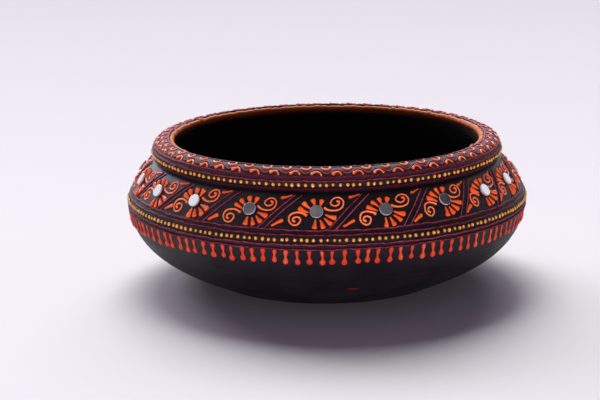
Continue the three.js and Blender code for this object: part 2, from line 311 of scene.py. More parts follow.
def brush_streaks(tree, place, apart):
    level = add_node(tree, "CombineXYZ", {"X": apart["X"], "Y": apart["Y"]}).outputs["Vector"]
    radius = add_node(tree, "VectorMath", {0: level}, operation="LENGTH").outputs["Value"]
    stretch = (STREAK_ROUND, STREAK_ROUND, STREAK_ACROSS)
    brushed = add_node(
        tree, "VectorMath", {0: place, 1: stretch}, operation="MULTIPLY").outputs["Vector"]
    across = add_math(tree, "MULTIPLY", radius, STREAK_ACROSS)
    return add_node(
        tree, "TexNoise",
        {"Vector": brushed, "W": across, "Scale": 1.0, "Detail": 4.0, "Roughness": 0.6},
        noise_dimensions="4D",
    ).outputs["Fac"]


def pit_mask(tree, place):
    """0 on the floor of each pit and 1 outside them, from an angle, a distance and a width."""
    depth = None
    for angle, distance, width in PITS:
        point, out = on_outline(distance * MM)
        centre = hand_thrown(turned(point.x, math.radians(angle), point.z))
        far = add_node(tree, "VectorMath", {0: place, 1: centre}, operation="DISTANCE").outputs["Value"]
        pit = add_range(tree, far, start=width * PIT_FLOOR * MM, end=width * MM)
        depth = pit if depth is None else add_math(tree, "MULTIPLY", depth, pit)
    return depth


print("pits", len(PITS))

# %% [markdown]
# The streaks vary the colour, the roughness and the bump together. The inside was left in a dull black
# wash, whose colour is a little darker than the satin: painted shade inside the bowl. An attribute named
# inside tells the two apart. The top of the rim lies between them, dull and stained red by the paste.
# That red is painted weak at the front and strong at the back, where the light comes from, so it is
# partly stain and partly painted light.

# %% Black paint
SATIN_DARK = (0.0036, 0.0022, 0.0036)
SATIN_PALE = (0.0145, 0.0108, 0.0165)
SATIN_ROUGHNESS = (0.62, 0.48)
# Inside the bowl the colour is painted darker than the satin: painted shade on a dull wash.
WASH_AND_SHADE = (0.0045, 0.0035, 0.0050, 1)
WASH_ROUGHNESS = 0.9
# The pit floors are painted near black: painted shade in the hollows.
PIT_SHADE_COLOUR = (0.002, 0.002, 0.002, 1)
# The rim's red ground is partly the paste's stain and partly painted light: it is painted weak at the front
# and strong at the back, where the light comes from.
RIM_GROUND = (0.42, 0.068, 0.085, 1)
RIM_STAIN_SHADED_FRONT = 0.08
RIM_STAIN_LIGHT_REACH = 90 * MM
RIM_WASH = 0.6


def black_paint():
    tree, shader, material = new_material("black_satin_paint")
    place = add_place(tree)
    apart = add_node(tree, "SeparateXYZ", {"Vector": place}).outputs
    streaks = brush_streaks(tree, place, apart)
    depth = pit_mask(tree, place)
    cloud = add_noise(tree, place, 38.0, 3.0)
    grain = add_noise(tree, place, 1800.0, 2.0)
    tone = add_range(tree, add_math(tree, "ADD", streaks, cloud), start=0.7, end=1.35)
    satin = add_ramp(tree, tone, (0.0, SATIN_DARK), (1.0, SATIN_PALE))
    inside = add_attribute(tree, "inside")
    # Painted light: the red on the rim grows from the front to the back.
    stain_and_light_backward = add_range(
        tree, apart["Y"], low=RIM_STAIN_SHADED_FRONT, start=-RIM_STAIN_LIGHT_REACH, end=RIM_STAIN_LIGHT_REACH)
    on_rim = add_math(tree, "MULTIPLY", add_range(tree, inside, end=RIM_WASH), stain_and_light_backward)
    deep = add_range(tree, inside, start=RIM_WASH)
    colour = add_mix(tree, deep, add_mix(tree, on_rim, satin, RIM_GROUND), WASH_AND_SHADE)
    smooth = add_range(tree, tone, *SATIN_ROUGHNESS)
    rough = add_mixed_number(tree, inside, smooth, WASH_ROUGHNESS)
    tree.links.new(add_mix(tree, depth, PIT_SHADE_COLOUR, colour), shader.inputs["Base Color"])
    tree.links.new(rough, shader.inputs["Roughness"])
    relief = add_math(tree, "MULTIPLY_ADD", depth, 3.0, add_math(tree, "ADD", streaks, grain))
    add_bump(tree, shader, relief, 0.25, 0.1)
    set_shader(shader, Specular_IOR_Level=0.36)
    return material


paint = black_paint()
print("paint", len(paint.node_tree.nodes), "nodes")

# %% [markdown]
# The clay body is turned as on the wheel: a profile from the middle of the underside, round the foot, up
# the outline and down the inner wall, spun about the axis. A screw modifier would do the same, but the
# spin keeps the attribute named inside. It leaves a seam and a pole on each face of the floor, which
# merging by distance closes. The foot's edge is worn round.

# %% Clay bowl
TURN_STEPS = 200
PROFILE_STEP = 1.5 * MM
FOOT_WEAR = 1.4 * MM
INNER_TOP = 4 * MM
INNER_STEPS = 44
FLOOR_CURVE_START = 24 * MM
FLAT_FLOOR = FLOOR_RADIUS * 0.82
FLOOR_RINGS = 12
CURVE_STEPS = 14
THROAT_PULL = -6
COVE_PULL = -5
RIM_WASH_FROM = 84 * MM


def bowl_profile():
    """The bowl's section: its outer points from the middle of the underside, and its inner ones."""
    count = round((OUTLINE_END - FOOT_WEAR) / PROFILE_STEP)
    outside = [
        on_outline(FOOT_WEAR + (OUTLINE_END - FOOT_WEAR) * i / count)[0] for i in range(count + 1)
    ]
    worn = interpolate_bezier(
        flat(FOOT_RADIUS - FOOT_WEAR, 0), flat(FOOT_RADIUS, 0), flat(FOOT_RADIUS, 0), outside[0], 6
    )
    wall = []
    for i in range(INNER_STEPS + 1):
        part = i / INNER_STEPS
        distance = (SHOULDER_END - INNER_TOP) * (1 - part) + FLOOR_CURVE_START * part
        point, out = on_outline(distance)
        wall.append(point - out * WALL)
    lip, fall = outside[-1], wall[0]
    throat = interpolate_bezier(
        lip, lip - flat(0, LIP_DROP), fall.lerp(wall[1], THROAT_PULL), fall, CURVE_STEPS
    )
    bottom = wall[-1]
    cove = interpolate_bezier(
        bottom, bottom.lerp(wall[-2], COVE_PULL), flat(FLOOR_RADIUS, FLOOR), flat(FLAT_FLOOR, FLOOR),
        CURVE_STEPS,
    )
    floor = [flat(FLAT_FLOOR * (1 - i / FLOOR_RINGS), FLOOR) for i in range(1, FLOOR_RINGS + 1)]
    underside = [flat((FOOT_RADIUS - FOOT_WEAR) * i / FLOOR_RINGS, 0) for i in range(FLOOR_RINGS)]
    shown = underside + worn[:-1] + outside
    return shown, throat[1:-1] + wall + cove[1:] + floor


bowl = bmesh.new()
inside_layer = bowl.verts.layers.float.new("inside")
profile = []
for inside, points in enumerate(bowl_profile()):
    for point in points:
        vert = bowl.verts.new(point)
        vert[inside_layer] = 1 if inside else RIM_WASH * (point.z > RIM_WASH_FROM)
        profile.append(vert)
section = [bowl.edges.new(pair) for pair in zip(profile, profile[1:])]
bmesh.ops.spin(
    bowl, geom=profile + section, cent=(0, 0, 0), axis=(0, 0, 1), angle=2 * math.pi,
    steps=TURN_STEPS, use_merge=True, use_duplicate=False,
)
bmesh.ops.remove_doubles(bowl, verts=bowl.verts, dist=0.01 * MM)
for vert in bowl.verts:
    vert.co = hand_thrown(vert.co)
finish_piece(bowl, "painted_clay_bowl", paint, "clay", "clay_bowl")

# %% [markdown]
# Paste comes out of the cone as a round bead that sags into a low half round. Each bead stores how far
# its surface faces up in an attribute named crest, and each stroke a tone of its own. The colours below
# are read from those: a painted highlight on the crest and painted shade along the edges, which a high
# tone makes paler and a low one darker, with a fine grain and a soft gloss on top.

# %% Paste materials
MOTTLE_WEIGHT = 0.34
TONE_WEIGHT = 0.22


def paste(name, edge, body, crest, coat, shine, rough=(0.34, 0.50)):
    tree, shader, material = new_material(name)
    place = add_place(tree)
    mottle = add_noise(tree, place, 420.0, 3.0)
    grain = add_noise(tree, place, 2200.0, 2.0)
    facing = add_math(tree, "MULTIPLY_ADD", mottle, MOTTLE_WEIGHT, add_attribute(tree, "crest"))
    shifted = add_math(tree, "MULTIPLY_ADD", add_attribute(tree, "tone"), TONE_WEIGHT, facing)
    level = add_range(tree, shifted, start=0.2, end=1.45)
    # Painted shade at the edges, the paste's own colour in the body, a painted highlight on the crest.
    colour = add_ramp(tree, level, (0.08, edge), (0.5, body), (0.78, body), (1.0, crest))
    tree.links.new(colour, shader.inputs["Base Color"])
    tree.links.new(add_range(tree, mottle, *rough), shader.inputs["Roughness"])
    add_bump(tree, shader, add_math(tree, "MULTIPLY_ADD", mottle, 1.5, grain), 0.3, 0.1)
    set_shader(shader, Coat_Weight=coat, Coat_Roughness=0.2, Specular_IOR_Level=shine)
    return material


# Each paste is given an edge colour, which is painted shade, its own body colour, and a crest colour, which
# is a painted highlight. The amber's edge colour is as light as its body, so its inner lip, which faces
# sideways, is not painted darker.
orange = paste(
    "orange_cone_paste", (0.30, 0.010, 0.006), (0.95, 0.112, 0.016), (1.0, 0.42, 0.21),
    coat=0.05, shine=0.3)
red = paste(
    "red_cone_paste", (0.20, 0.005, 0.004), (0.62, 0.042, 0.018), (0.80, 0.15, 0.07), coat=0, shine=0.25)
maroon = paste(
    "maroon_cone_paste", (0.016, 0.0015, 0.005), (0.048, 0.004, 0.012), (0.40, 0.080, 0.12),
    rough=(0.46, 0.62), coat=0, shine=0.1)
plum = paste(
    "plum_cone_paste", (0.025, 0.003, 0.009), (0.075, 0.010, 0.024), (0.44, 0.10, 0.15),
    rough=(0.46, 0.62), coat=0, shine=0.1)
gold = paste(
    "golden_cone_paste", (0.14, 0.030, 0.003), (0.82, 0.32, 0.028), (1.0, 0.64, 0.19),
    coat=0.5, shine=0.5)
amber = paste(
    "amber_cone_paste", (0.72, 0.210, 0.090), (0.72, 0.180, 0.030), (0.82, 0.26, 0.03),
    rough=(0.5, 0.64), coat=0, shine=0.1)
print("paste materials", [material.name for material in (orange, red, maroon, plum, gold, amber)])

# %% [markdown]
# A stroke is drawn flat, as points of (right, up, half width) in millimetres. A curve with a round bevel
# and a radius at each point gives the bead, a fraction of the width high. Then it is wrapped on the
# clay. Its lower half sinks in, so no gap shows below it, and a smooth path through a few listed
# points keeps the shapes easy to change.

# %% Draw strokes
def smooth_path(points, steps):
    """Catmull-Rom path through (right, up, half width) points, with so many steps between two."""
    ends = [points[0], *points, points[-1]]
    path = []
    for a, b, c, d in zip(ends, ends[1:], ends[2:], ends[3:]):
        for i in range(steps):
            t = i / steps
            path.append(tuple(
                0.5 * (2 * q + (r - p) * t + (2 * p - 5 * q + 4 * r - s) * t ** 2
                       + (3 * q - p - 3 * r + s) * t ** 3)
                for p, q, r, s in zip(a, b, c, d)
            ))
    return path + [points[-1]]


def rounded(path, blunt=0.45):
    """The path with its two ends closed by a short blunt nose."""
    def nose(end, inner):
        run = Vector(end[:2]) - Vector(inner[:2])
        run.normalize()
        half = end[2]
        return [
            (end[0] + run.x * half * reach * blunt, end[1] + run.y * half * reach * blunt, half * width)
            for reach, width in ((0.55, 0.84), (0.9, 0.5), (1.0, 0.12))
        ]
    return nose(path[0], path[1])[::-1] + list(path) + nose(path[-1], path[-2])


print("a rounded stroke has", len(rounded(smooth_path([(0, 0, 1), (5, 0, 1)], 2))), "points")

# %% [markdown]
# The strokes of one piece become one mesh of beads. Each vertex gets its two attributes while the mesh
# still lies flat, because there the normal's z says how far the bead's surface faces up. The tone is
# drawn for each stroke from a range, and a high one gives a pale painted highlight on the crest.

# %% Pipe strokes
BEAD_CORNERS = 10
SMALL_CORNERS = 8


def bead_mesh(strokes, flatness, corners):
    """One mesh of round beads along the strokes, lying flat, squashed in z, open at their ends."""
    curve = bpy.data.curves.new("bead", "CURVE")
    curve.dimensions = "3D"
    curve.twist_mode = "Z_UP"
    curve.bevel_depth = 1
    curve.bevel_resolution = (corners - 4) // 2
    for stroke in strokes:
        spline = curve.splines.new("POLY")
        spline.points.add(len(stroke) - 1)
        for point, (right, up, half) in zip(spline.points, stroke):
            point.co = (right * MM, up * MM, 0, 1)
            point.radius = half * MM
    holder = bpy.data.objects.new("bead", curve)
    mesh = bpy.data.meshes.new_from_object(holder)
    bpy.data.objects.remove(holder)
    bpy.data.curves.remove(curve)
    for vert in mesh.vertices:
        vert.co.z *= flatness
    return mesh


def paste_shape():
    """An empty bmesh with the two attributes that the paste materials read."""
    shape = bmesh.new()
    shape.verts.layers.float.new("crest")
    shape.verts.layers.float.new("tone")
    return shape


def mark_paste(shape, verts, tones):
    """Stores how far each flat vertex faces up, and the tone of its stroke."""
    crest = shape.verts.layers.float["crest"]
    tone = shape.verts.layers.float["tone"]
    shape.normal_update()
    for vert, value in zip(verts, tones):
        vert[crest] = max(vert.normal.z, 0.0)
        vert[tone] = value


def pipe(shape, strokes, seed, angle, distance, row_radius=None, flatness=0.9, closed=False,
         corners=BEAD_CORNERS, tone=(-1, 1)):
    """Adds strokes of paste to a shape, laid on the clay from an angle and a distance."""
    draw = random.Random(seed)
    mesh = bead_mesh(strokes, flatness, corners)
    first, old_edges = len(shape.verts), len(shape.edges)
    shape.from_mesh(mesh)
    bpy.data.meshes.remove(mesh)
    shape.verts.ensure_lookup_table()
    shape.edges.ensure_lookup_table()
    verts = shape.verts[first:]
    tones = []
    for stroke in strokes:
        tones += [draw.uniform(*tone)] * (len(stroke) * corners)
    if len(tones) != len(verts):
        raise ValueError(f"{len(verts)} vertices for {len(tones)} tones")
    if not closed:
        ends = [edge for edge in shape.edges[old_edges:] if edge.is_boundary]
        bmesh.ops.holes_fill(shape, edges=ends, sides=corners)
    mark_paste(shape, verts, tones)
    lay_on_clay(verts, angle, distance, row_radius)


# %% [markdown]
# The lines round the bowl are piped freehand as it turns. They wander a little, swell and thin, and show
# small knots where the hand stopped and started again. Each is one long stroke whose ends meet at the
# back, where its seam is merged.

# %% Lines of paste round the bowl
RING_STEPS = 760
WANDER_COUNTS = (3, 7, 17, 31, 53, 89, 127)


def wandering(draw, amount):
    """A small wander round the bowl that closes on itself, as a function of the turn."""
    waves = [(count, draw.uniform(0, 2 * math.pi), draw.uniform(0.4, 1)) for count in WANDER_COUNTS]
    return lambda turn: amount * sum(
        size * math.sin(count * turn + phase) for count, phase, size in waves)


def ring_stroke(seed, radius, half, wander=0.14, knots=24, path=None):
    """A full round of paste at a radius, in millimetres along x."""
    draw = random.Random(seed)
    sway = wandering(draw, wander)
    swell = wandering(draw, 0.045)
    stops = [(draw.uniform(0, 2 * math.pi), draw.uniform(0.25, 0.6)) for _ in range(knots)]
    stroke = []
    for i in range(RING_STEPS + 1):
        turn = 2 * math.pi * i / RING_STEPS
        knot = sum(size * math.exp(-((turn - at) * radius / MM / 0.9) ** 2) for at, size in stops)
        up = sway(turn) + (path(turn) if path else 0)
        stroke.append((turn * radius / MM, up, half * (1 + swell(turn) + knot)))
    return stroke


def close_ring(shape):
    bmesh.ops.remove_doubles(shape, verts=shape.verts, dist=0.02 * MM)


def line_of_paste(name, node, distance, half, flatness, material, slot, seed, tone, knots=24):
    radius = on_outline(distance)[0].x
    shape = paste_shape()
    stroke = ring_stroke(seed, radius, half, knots=knots)
    pipe(shape, [stroke], seed, math.pi, distance, radius, flatness, True, tone=tone)
    close_ring(shape)
    finish_piece(shape, name, material, slot, node)


# %% [markdown]
# Four lines lie on the rim, one on the inner lip and three under the mirrors. They differ in numbers
# only, so one loop pipes them from a table. A row gives the names of the line and of its CAD node, its
# distance along the outline, its half width in millimetres, how flat the bead is, its material and slot,
# its seed, its tone and, where they are few, its knots. The line that carries the diagonals comes later.

# %% The plain lines
LINE_HALF = 0.88
RIM_LINE_HALF = 0.78
MAROON, YELLOW = "maroon_paste", "yellow_paste"
# These tones set how far each line is painted in shade or given a pale painted highlight, from the darkest
# to the palest.
DARK, DULL, MIDDLE, PALE_PAINTED_HIGHLIGHT = (-0.8, -0.6), (0.1, 0.3), (0.5, 0.7), (0.7, 0.9)
belt_2, belt_3, fringe_distance = (mirror_distance - drop * MM for drop in (14.1, 19.7, 22.3))
for row in (
    ("rim_lower_paste_line", "rim_lower_line", RIM_END - 3.2 * MM, 1.5, 0.7, maroon, MAROON, 11, DARK),
    ("rim_paste_line_2", "rim_line_2", RIM_END + 1.9 * MM, RIM_LINE_HALF, 0.8, maroon, MAROON, 12, MIDDLE),
    ("rim_paste_line_1", "rim_line_1", RIM_END + 4.3 * MM, RIM_LINE_HALF, 0.8, plum, MAROON, 13, DULL),
    ("rim_paste_inner_line", "rim_inner_line", CREST_END + 1.3 * MM, RIM_LINE_HALF, 0.9, plum, MAROON, 17,
     PALE_PAINTED_HIGHLIGHT, 3),
    ("lip_paste_line", "lip_line", OUTLINE_END - 2.1 * MM, 1.9, 0.7, amber, YELLOW, 18, (0.2, 0.4), 8),
    ("belt_paste_line_2", "belt_line_2", belt_2, LINE_HALF, 0.9, maroon, MAROON, 14, MIDDLE),
    ("belt_paste_line_3", "belt_line_3", belt_3, LINE_HALF, 0.9, maroon, MAROON, 15, MIDDLE),
    ("fringe_paste_line", "fringe_line", fringe_distance, LINE_HALF, 0.9, maroon, MAROON, 16, MIDDLE),
):
    line_of_paste(*row)

# %% [markdown]
# Between the upper line and the crest runs a maroon wave, with an orange arc under each of its tops and
# an upturned one in each of its troughs. It could be drawn wave by wave, but a line whose height follows
# a cosine comes back to its start without a step.

# %% Wave on the rim
ARC_COUNT = 55
ARC_TURN = math.radians(-3.2)
WAVE_DISTANCE = CREST_END - 5 * MM
WAVE_SWING = 1.55
WAVE_HALF = 0.58
wave_radius = on_outline(WAVE_DISTANCE)[0].x
wave = paste_shape()
wave_stroke = ring_stroke(
    21, wave_radius, WAVE_HALF, 0.07, 12,
    lambda turn: WAVE_SWING * math.cos(ARC_COUNT * (turn + math.pi - ARC_TURN)))
pipe(wave, [wave_stroke], 21, math.pi, WAVE_DISTANCE, wave_radius, 1.0, True, tone=PALE_PAINTED_HIGHLIGHT)
close_ring(wave)
finish_piece(wave, "rim_paste_wave", plum, MAROON, "rim_wave_line")

# %% [markdown]
# The arcs start with a fat drop, where the cone touched down, and trail off thin. They could be copies
# of one arc, but a hand never repeats itself, so each is drawn anew with a little unevenness. They grow
# heavier towards the back.

# %% Arcs on the rim
HEAVIER_BEHIND = 0.2
LOW_ARC = [(-2.9, -0.8, 1.0), (-2.1, -0.2, 0.85), (-0.8, 0.9, 0.62), (0.7, 1.0, 0.58), (1.9, 0.1, 0.56),
           (2.7, -1.4, 0.62)]
HIGH_ARC = [(-2.7, 1.3, 0.55), (-1.9, 0.0, 0.6), (-0.3, -0.9, 0.6), (1.4, -0.5, 0.6), (2.4, 0.7, 0.65),
            (2.0, 1.7, 0.85)]


def hand_drawn(draw, points, scale=0.07, shift=0.25, turn=6):
    """The points of a stroke with the unevenness of a hand: size, place, heading and width."""
    grow = 1 + draw.uniform(-scale, scale)
    fat = 1 + draw.uniform(-0.12, 0.12)
    lean = math.radians(draw.uniform(-turn, turn))
    off = Vector((draw.uniform(-shift, shift), draw.uniform(-shift, shift)))
    moved = []
    for right, up, half in points:
        x = right * math.cos(lean) - up * math.sin(lean)
        y = right * math.sin(lean) + up * math.cos(lean)
        wobble = Vector((draw.uniform(-0.1, 0.1), draw.uniform(-0.1, 0.1)))
        moved.append((x * grow + off.x + wobble.x, y * grow + off.y + wobble.y, half * fat))
    return moved


def row_of_arcs(name, points, distance, half_step, seed):
    draw = random.Random(seed)
    radius = on_outline(distance)[0].x
    strokes = []
    for i in range(ARC_COUNT):
        turn = 2 * math.pi * (i + half_step) / ARC_COUNT
        middle = turn * radius / MM
        heavy = 1 + HEAVIER_BEHIND * (1 - math.cos(turn + ARC_TURN))
        stroke = smooth_path(hand_drawn(draw, points), 2)
        strokes.append(rounded([(middle + right, up, half * heavy) for right, up, half in stroke]))
    shape = paste_shape()
    pipe(shape, strokes, seed, ARC_TURN, distance, radius, 0.85, corners=SMALL_CORNERS, tone=(0.4, 1.4))
    finish_piece(shape, name, orange, "orange_paste")


row_of_arcs("rim_arcs_lower", LOW_ARC, CREST_END - 5.9 * MM, 0, 22)
row_of_arcs("rim_arcs_upper", HIGH_ARC, CREST_END - 2 * MM, 0.5, 23)

# %% [markdown]
# The golden dots are single touches of the cone: small domes, never quite round or quite in line. A dot
# repeated hundreds of times needs only a few dozen faces, so each is a coarse sphere, squashed, tilted
# a little and half sunk.

# %% Golden dots
DOT_SIDES = 9
DOT_RINGS = 6


def row_of_dots(name, distance, count, size, seed):
    draw = random.Random(seed)
    shape = paste_shape()
    touch = bpy.data.meshes.new("touch")
    sway = wandering(draw, 0.06)
    for i in range(count):
        turn = 2 * math.pi * (i + draw.uniform(-0.13, 0.13)) / count
        width = size * draw.uniform(0.86, 1.1)
        tall = width * draw.uniform(1.0, 1.22)
        place = Matrix.Translation((0, (sway(turn) + draw.uniform(-0.12, 0.12)) * MM, 0.1 * MM))
        lean = Matrix.Rotation(draw.uniform(-0.5, 0.5), 4, "Z")
        squash = Matrix.Diagonal((width / 2 * MM, tall / 2 * MM, 0.5 * width * MM, 1))
        dot = paste_shape()
        bmesh.ops.create_uvsphere(
            dot, u_segments=DOT_SIDES, v_segments=DOT_RINGS, radius=1, matrix=place @ lean @ squash)
        mark_paste(dot, dot.verts, [draw.uniform(-0.4, 1.2)] * len(dot.verts))
        lay_on_clay(dot.verts, turn, distance)
        dot.to_mesh(touch)
        dot.free()
        shape.from_mesh(touch)
    bpy.data.meshes.remove(touch)
    finish_piece(shape, name, gold, YELLOW)


row_of_dots("rim_dots", RIM_END - 0.2 * MM, 174, 2.05, 31)
row_of_dots("belt_dots", mirror_distance - 16.9 * MM, 208, 2.1, 32)

# %% [markdown]
# The nine flowers at the front stand where the hand set them: degrees from the front, millimetres above
# the mirror circle, then where the diagonals on their right start, how far those lean, and how far the
# left and the right scroll reach. The ten others are spread evenly over the rest.

# %% Places of the flowers
MIRROR_COUNT = 19
DIAGONAL_FOOT, DIAGONAL_LEAN = 6.6, 17.4
SET_FLOWERS = [
    (-76.2, -0.4, 6.6, 15.4, 1.0, 1.0),
    (-59.5, -0.5, 6.6, 17.4, 1.0, 1.0),
    (-41.5, 0.1, 6.6, 17.4, 1.0, 1.0),
    (-22.3, -0.2, 6.6, 18.0, 1.0, 1.0),
    (-2.9, -0.3, 6.7, 19.0, 1.0, 1.0),
    (16.7, -0.4, 9.4, 16.0, 0.9, 1.15),
    (36.0, 1.1, 7.8, 14.2, 0.8, 1.0),
    (53.3, 0.5, 7.0, 12.5, 0.75, 1.15),
    (69.6, 0.7, 6.6, 16.0, 0.8, 1.15),
]


def flower_places():
    """Each flower's angle and distance, the foot and lean of its diagonals, and its scrolls' reach."""
    first, last = SET_FLOWERS[0][0], SET_FLOWERS[-1][0]
    spare = MIRROR_COUNT - len(SET_FLOWERS)
    step = (360 + first - last) / (spare + 1)
    plain = (0.0, DIAGONAL_FOOT, DIAGONAL_LEAN, 1.0, 1.0)
    rest = [(last + step * (i + 1), *plain) for i in range(spare)]
    return [
        (math.radians(turn), mirror_distance + rise * MM, *others)
        for turn, rise, *others in SET_FLOWERS + rest
    ]


flowers = flower_places()
print("flowers", len(flowers))

# %% [markdown]
# A mirror flower is eight petals and two scrolls piped from the glue bed outwards. A petal starts as a
# thin tail by the mirror and ends in a fat blunt head, since the cone was pressed hardest there. The
# scroll starts thick and curls in on itself; the left one is the right one turned half round. Copies of
# one flower would look stamped, so each is piped anew from the same points with its own unevenness.

# %% Mirror flowers
PETALS = [
    ((-4.9, 0.1), (-10.6, 2.8)), ((-3.4, 2.3), (-7.5, 5.8)), ((-1.1, 3.7), (-2.4, 7.9)),
    ((1.8, 3.8), (2.8, 7.7)), ((5.3, -1.4), (11.4, -3.5)), ((4.6, -3.6), (8.5, -7.2)),
    ((2.2, -4.8), (4.0, -9.4)), ((-0.6, -4.6), (-1.1, -9.8)),
]
PETAL_HALF = 1.62
SCROLL = [
    (4.3, 2.6, 0.95), (5.6, 1.7, 0.8), (7.6, 1.0, 0.66), (10.0, 0.8, 0.6), (12.8, 1.5, 0.58),
    (14.4, 3.4, 0.56), (14.7, 5.8, 0.54), (13.5, 7.9, 0.54), (11.3, 8.8, 0.54), (9.0, 7.9, 0.54),
    (7.7, 5.9, 0.54), (8.3, 4.3, 0.56), (10.2, 3.6, 0.58), (12.1, 4.4, 0.6), (12.4, 6.0, 0.65),
    (11.2, 6.5, 0.8),
]
LEFT_SCROLL_SHIFT = (-1.9, 0.8)
BED_RADIUS = 3.1
BED_HEIGHT = 1.3


def petal_stroke(draw, tail, head):
    """A petal from its thin tail by the mirror to its blunt head."""
    tail, head = Vector(tail), Vector(head)
    run = (head - tail) * (1 + draw.uniform(-0.09, 0.09))
    side = Vector((-run.y, run.x)) * draw.uniform(-0.06, 0.06)
    fat = PETAL_HALF * (1 + draw.uniform(-0.14, 0.12))
    shape = [(-0.04, 0.3), (0.25, 0.48), (0.55, 0.74), (0.82, 0.98), (0.96, 1.0)]
    points = []
    for part, width in shape:
        place = tail + run * part + side * math.sin(math.pi * part)
        points.append((place.x, place.y, fat * width))
    return rounded(smooth_path(points, 2), 0.4)


def scroll_strokes(draw, left_reach, right_reach):
    """The right scroll, and the left one, which is the same turned half round and moved a little."""
    strokes = []
    mirror_side = SCROLL[0][0]
    for flip, reach, shift in ((1, right_reach, (0, 0)), (-1, left_reach, LEFT_SCROLL_SHIFT)):
        curl = hand_drawn(draw, SCROLL, 0.04, 0.25, 4)
        curl = [
            (flip * (mirror_side + (right - mirror_side) * reach) + shift[0], flip * up + shift[1], half)
            for right, up, half in curl
        ]
        strokes.append(rounded(smooth_path(curl, 3), 0.6))
    return strokes


for number, (start, distance, _, _, *reaches) in enumerate(flowers, 1):
    draw = random.Random(400 + number)
    flower = paste_shape()
    petals = [petal_stroke(draw, tail, head) for tail, head in PETALS]
    pipe(flower, petals, 400 + number, start, distance, None, 0.8, tone=(-0.4, 0.6))
    pipe(flower, scroll_strokes(draw, *reaches), 450 + number, start, distance, tone=(0.5, 1.1))
    bed = bmesh.ops.create_cone(
        flower, cap_ends=True, cap_tris=False, segments=20, radius1=BED_RADIUS * MM,
        radius2=BED_RADIUS * 0.93 * MM, depth=BED_HEIGHT * MM, matrix=Matrix.Translation((0, 0, 0.45 * MM)))
    # The bed gets a low tone, which paints its sides darker: painted shade under the mirror.
    mark_paste(flower, bed["verts"], [-1] * len(bed["verts"]))
    lay_on_clay(bed["verts"], start, distance)
    finish_piece(
        flower, f"paste_flower_{number:02d}", orange, "orange_paste", f"mirror_flower_{number:02d}")

# %% [markdown]
# Between two flowers a pair of slanting maroon lines climbs from the first belt line to the neck, with a
# short orange comma on either side of it. The CAD model has the pairs and the line in one node, so they
# are piped into one shape here too. The commas are orange and become a piece of their own.

# %% Belt line with its diagonals, and commas
BELT_1_DROP = 11.2
DIAGONALS_APART = 4.1
DIAGONAL_CLIMB = 21.6
DIAGONAL_HALF = 0.6
UPPER_COMMA = [
    (-6.0, 8.9, 1.05), (-5.2, 8.9, 1.15), (-4.0, 9.2, 0.8), (-2.8, 9.9, 0.6), (-1.8, 10.6, 0.65),
]
LOWER_COMMA = [
    (9.8, -5.5, 1.2), (9.3, -6.0, 1.3), (8.5, -6.9, 1.05), (7.6, -8.0, 0.85), (6.8, -8.9, 0.8),
]
WIDEST_LEAN = max(lean for _, _, _, lean, *_ in SET_FLOWERS)


def slanting_line(draw, foot, lean):
    """A diagonal from the belt line up to the neck, a little bowed."""
    bow = draw.uniform(-0.4, 0.4)
    points = []
    for i in range(6):
        part = i / 5
        right = foot + lean * part + bow * math.sin(math.pi * part) + draw.uniform(-0.12, 0.12)
        up = DIAGONAL_CLIMB * part - BELT_1_DROP + 0.2
        points.append((right, up, DIAGONAL_HALF * draw.uniform(0.9, 1.15)))
    return rounded(smooth_path(points, 4))


def beside_diagonals(comma, foot, lean, spread):
    """A comma whose places are given from the first diagonal at its own height."""
    return [
        (foot + lean * (up + BELT_1_DROP) / DIAGONAL_CLIMB + right * spread, up, half)
        for right, up, half in comma
    ]


belt_distance = mirror_distance - BELT_1_DROP * MM
belt_radius = on_outline(belt_distance)[0].x
belt = paste_shape()
pipe(belt, [ring_stroke(41, belt_radius, LINE_HALF)], 41, math.pi, belt_distance, belt_radius, 0.8, True,
     tone=(0.6, 0.8))
close_ring(belt)
commas = paste_shape()
for number, (start, _, foot, lean, *_) in enumerate(flowers, 1):
    draw = random.Random(500 + number)
    slanting = [slanting_line(draw, foot + apart, lean) for apart in (0, DIAGONALS_APART)]
    pipe(belt, slanting, 500 + number, start, mirror_distance, corners=SMALL_CORNERS, tone=(0.9, 1.3))
    room = lean / WIDEST_LEAN
    # The upper commas get a low tone, which paints them darker: painted shade under the rim.
    for comma, spread, tone in ((UPPER_COMMA, 1, (-1.5, -1.0)), (LOWER_COMMA, room, (-0.4, 0.4))):
        drop = hand_drawn(draw, beside_diagonals(comma, foot, lean, spread), 0.0, 0.3, 0)
        drop = rounded(smooth_path(drop, 2))
        pipe(commas, [drop], 600 + number, start, mirror_distance, None, 0.8, False, SMALL_CORNERS, tone)
finish_piece(belt, "belt_paste_line_1", maroon, MAROON, "belt_line_1")
finish_piece(commas, "paste_commas", orange, "orange_paste")

# %% [markdown]
# The fringe is a row of tassels hung from the lowest line: a thick top, a thin waist and a ball where the
# stroke ends. An array of one tassel would be too even: no two are alike in length, lean or the size of
# the ball, and those on the right side are thinner. Below them lies a small flat smear, where a finger
# once brushed the wet paste.

# %% Tassels
TASSEL_COUNT = 116
TASSEL = [(-0.9, 1.35), (-2.3, 1.5), (-3.9, 0.95), (-5.2, 0.64), (-6.2, 1.1), (-7.5, 2.15), (-8.5, 2.0)]
TASSEL_LENGTH = 9
TASSEL_FLATNESS = 0.58
THINNER_RIGHT = 0.25
SMEAR = [(-3.2, 0.5, 0.5), (-1.6, 0.2, 0.9), (0.2, -0.1, 1.0), (1.8, 0.1, 0.8), (3.2, 0.4, 0.4)]
SMEAR_TURN = math.radians(7.8)
SMEAR_DISTANCE = 39.2 * MM

